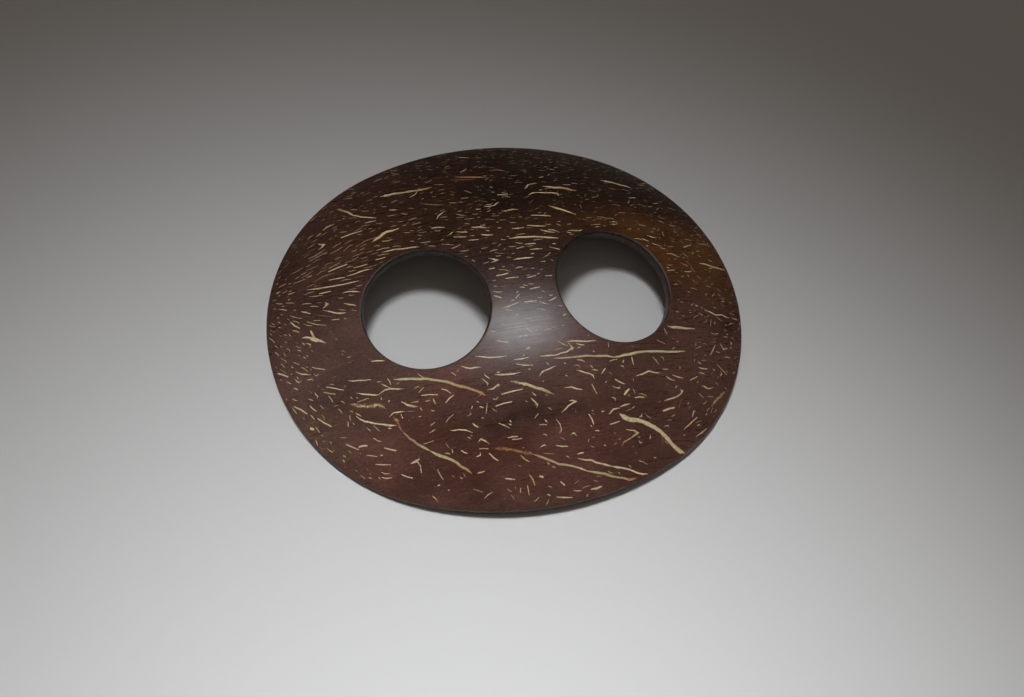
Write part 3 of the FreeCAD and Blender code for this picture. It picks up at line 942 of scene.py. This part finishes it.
def shell_material():
    """Polished coconut shell: dark brown with fibres, stains and fine scratches."""
    n = Nodes("polished_coconut_shell")
    blotch = n.noise(90, 4, (1.0, 1.4, 1.0))
    streak = n.noise(520, 4, (0.40, 1.4, 1.0), 0.65)
    grain = n.noise(2400, 3, (0.6, 1.2, 1.0), 0.6)

    ground = n.ramp(blotch, ((0.30, (0.044, 0.018, 0.0135)), (0.50, (0.072, 0.031, 0.024)),
                             (0.70, (0.100, 0.044, 0.035))))
    streaks = n.ramp(streak, ((0.30, (0.92, 0.91, 0.90)), (0.5, (1.0, 1.0, 1.0)),
                              (0.72, (1.08, 1.07, 1.06))))
    ground = n.mix(1.0, ground, streaks, "MULTIPLY")
    speckle = n.ramp(grain, ((0.32, (0.72, 0.70, 0.68)), (0.52, (1.0, 1.0, 1.0)),
                             (0.70, (1.25, 1.22, 1.18))))
    ground = n.mix(1.0, ground, speckle, "MULTIPLY")

    # Painted light: the colour is multiplied darker and warmer on the far half and brighter on the near
    # half and left end, in place of the lamp's fall-off.
    painted_light_gradient = n.attribute("painted_light_gradient").outputs["Fac"]
    ground = n.mix(1.0, ground, n.mix(painted_light_gradient, (0.44, 0.37, 0.25), (1.66, 1.68, 1.68)), "MULTIPLY")

    stain = n.attribute("stain")
    parts = n.add("ShaderNodeSeparateColor")
    n.link(stain.outputs["Color"], parts.inputs["Color"])
    uneven = n.band(n.noise(260, 3, (0.7, 1.3, 1.0)), 0.3, 0.7, 0.35, 1.0)
    amber = n.math("MULTIPLY", parts.outputs["Red"], uneven)
    ground = n.mix(amber, ground, (0.155, 0.057, 0.015))
    red = n.math("MULTIPLY", parts.outputs["Green"], n.math("MULTIPLY", uneven, 0.75))
    ground = n.mix(red, ground, (0.092, 0.028, 0.015))
    dark = n.math("MULTIPLY", parts.outputs["Blue"], n.math("MULTIPLY", uneven, 0.85))
    ground = n.mix(dark, ground, (0.016, 0.008, 0.006))

    worn = n.attribute("worn").outputs["Fac"]
    scuff = n.band(n.noise(1500, 2, (0.5, 1.4, 1.0)), 0.46, 0.60)
    worn_fine = n.math("MULTIPLY", worn, scuff)
    ground = n.mix(n.math("MULTIPLY", worn_fine, 0.6), ground, (0.20, 0.13, 0.065))

    # The sawn faces of the rim and holes turn dark: partly their own colour, partly painted shade, chiefly
    # on the hole walls that lie in shadow.
    cut = n.attribute("cut").outputs["Fac"]
    cut_noise = n.band(n.noise(1300, 3), 0.4, 0.62)
    sawn_face_and_shade_colour = n.mix(cut_noise, (0.016, 0.010, 0.007), (0.050, 0.032, 0.021))
    ground = n.mix(n.math("MULTIPLY", cut, 0.75), ground, sawn_face_and_shade_colour)

    under = n.attribute("under").outputs["Fac"]
    inner = n.ramp(n.noise(160, 5, (1.0, 1.6, 1.0)), (
        (0.3, (0.050, 0.026, 0.015)), (0.5, (0.095, 0.052, 0.030)), (0.7, (0.150, 0.086, 0.050))))
    inner_fleck = n.band(n.noise(900, 2, (0.35, 1.6, 1.0)), 0.60, 0.72, 0.0, 0.6)
    inner = n.mix(inner_fleck, inner, (0.24, 0.155, 0.095))
    ground = n.mix(under, ground, inner)

    fibre = n.attribute("fibre").outputs["Fac"]
    ragged = n.math("MULTIPLY", n.math("SUBTRACT", n.noise(3000, 2), 0.5), 0.55)
    edge = n.math("ADD", fibre, ragged)
    mask = n.band(edge, 0.03, 0.30)
    colour = n.attribute("fibre_colour").outputs["Color"]
    threads = n.ramp(n.noise(2600, 3), ((0.3, (0.76, 0.72, 0.66)), (0.6, (1.08, 1.06, 1.03))))
    colour = n.mix(1.0, colour, threads, "MULTIPLY")
    core = n.band(edge, 0.06, 0.45)
    colour = n.mix(core, n.mix(1.0, colour, (0.50, 0.36, 0.26), "MULTIPLY"), colour)
    base = n.mix(mask, ground, colour)

    shader = n.add("ShaderNodeBsdfPrincipled")
    n.set(shader, IOR=1.5)
    n.link(base, shader.inputs["Base Color"])
    polish = n.band(n.noise(900, 4, (0.14, 2.6, 1.0), 0.7), 0.3, 0.75, 0.26, 0.34)
    rough = n.math("ADD", polish, n.math("MULTIPLY", cut, 0.14))
    rough = n.math("ADD", rough, n.math("MULTIPLY", under, 0.18))
    rough = n.math("ADD", rough, n.math("MULTIPLY", worn, 0.12))
    n.link(rough, shader.inputs["Roughness"])

    scratches = n.noise(1900, 3, (0.07, 2.4, 1.0), 0.7)
    wave = n.noise(110, 2)
    pores = n.noise(4200, 2)
    height = n.math("ADD", n.math("MULTIPLY", scratches, 0.15), n.math("MULTIPLY", wave, 1.5))
    height = n.math("ADD", height, n.math("MULTIPLY", pores, 0.22))
    height = n.math("ADD", height, n.math("MULTIPLY", mask, 0.12))
    bump = n.add("ShaderNodeBump")
    n.set(bump, Strength=0.55, Distance=0.00010)
    n.link(height, bump.inputs["Height"])
    n.link(bump.outputs["Normal"], shader.inputs["Normal"])
    out = n.add("ShaderNodeOutputMaterial")
    n.link(shader.outputs["BSDF"], out.inputs["Surface"])
    return n.material


def floor_material():
    """Plain pale studio floor."""
    n = Nodes("pale_floor")
    shader = n.add("ShaderNodeBsdfPrincipled")
    n.set(shader, Base_Color=(0.78, 0.775, 0.77, 1), Roughness=0.9)
    out = n.add("ShaderNodeOutputMaterial")
    n.link(shader.outputs["BSDF"], out.inputs["Surface"])
    return n.material


def add_object(name, data):
    item = bpy.data.objects.new(name, data)
    bpy.context.scene.collection.objects.link(item)
    return item


def add_floor():
    """A wide square floor, a hair under the ground plane."""
    reach = 12.0
    mesh = bpy.data.meshes.new("floor")
    corners = [(-reach, -reach, 0), (reach, -reach, 0), (reach, reach, 0), (-reach, reach, 0)]
    mesh.from_pydata(corners, [], [(0, 1, 2, 3)])
    mesh.materials.append(floor_material())
    floor = add_object("floor", mesh)
    floor.location.z = -0.00002


def aim(item, place, target):
    """Puts a light at a place (mm) and points it at a target (mm)."""
    item.location = Vector(place) * MM
    toward = (Vector(target) - Vector(place)).normalized()
    item.rotation_euler = toward.to_track_quat("-Z", "Y").to_euler()


def area_light(name, place, target, size, power, colour, spread, glossy):
    """A soft round or oval light, either seen in the polish (glossy) or lighting the colour."""
    light = bpy.data.lights.new(name, "AREA")
    light.shape = "ELLIPSE"
    light.size = size[0] * MM
    light.size_y = size[1] * MM
    light.energy = power
    light.color = colour
    light.spread = math.radians(spread)
    item = add_object(name, light)
    item.visible_glossy = glossy
    item.visible_diffuse = not glossy
    aim(item, place, target)


def add_lights():
    """Three lights and the glow all round, set apart for colour, polish and backdrop."""
    cool = (0.95, 0.975, 1.0)
    area_light("key_light", (-70, 180, 480), (-22, -135, 0), (130, 130), 0.155, cool, 36, False)
    area_light("bridge_sheen", (98, 100, 495), (98, 100, 0), (150, 60), 0.68,
               (0.93, 0.97, 1.0), 180, True)
    area_light("left_sheen", (-350, 60, 490), (0, 0, 10), (500, 500), 0.25,
               (1.0, 0.95, 0.9), 180, True)
    world = bpy.data.worlds.new("studio")
    world.use_nodes = True
    nodes = world.node_tree.nodes
    links = world.node_tree.links
    glow = nodes["Background"]
    glow.inputs["Color"].default_value = (1.0, 0.86, 0.74, 1)
    glow.inputs["Strength"].default_value = 0.095
    # The camera sees a pale backdrop, and the polish a dim one.
    rays = nodes.new("ShaderNodeLightPath")
    last = glow.outputs[0]
    for ray, level in (("Is Glossy Ray", 0.028), ("Is Camera Ray", 0.55)):
        seen = nodes.new("ShaderNodeBackground")
        seen.inputs["Color"].default_value = (level, level * 0.98, level * 0.96, 1)
        choice = nodes.new("ShaderNodeMixShader")
        links.new(rays.outputs[ray], choice.inputs[0])
        links.new(last, choice.inputs[1])
        links.new(seen.outputs[0], choice.inputs[2])
        last = choice.outputs[0]
    links.new(last, nodes["World Output"].inputs["Surface"])
    bpy.context.scene.world = world


def add_camera():
    """Camera at the viewing angle of the object: from the near left, looking steeply down."""
    place = Vector((-36.90, -64.65, 150.40))
    target = Vector((-4.10, -10.455, 11.3))
    roll = 0.371
    forward = (target - place).normalized()
    right = forward.cross(Vector((0, 0, 1))).normalized()
    up = right.cross(forward)
    turned_right = right * math.cos(roll) + up * math.sin(roll)
    turned_up = up * math.cos(roll) - right * math.sin(roll)
    data = bpy.data.cameras.new("camera")
    data.lens = 31.64
    data.sensor_width = 36
    data.clip_start = 0.005
    camera = add_object("camera", data)
    columns = (turned_right, turned_up, -forward)
    for i in range(3):
        for j in range(3):
            camera.matrix_world[i][j] = columns[j][i]
    camera.matrix_world.translation = place * MM
    bpy.context.scene.camera = camera


shell = add_object("coconut_shell_buckle", shell_mesh())
shell.data.materials.append(shell_material())
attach(shell, "root")
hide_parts("buckle_plate")
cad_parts["buckle_plate"].data.materials.clear()
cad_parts["buckle_plate"].data.materials.append(shell.data.materials[0])

add_floor()
add_lights()
add_camera()
bpy.context.scene.view_settings.view_transform = "Standard"
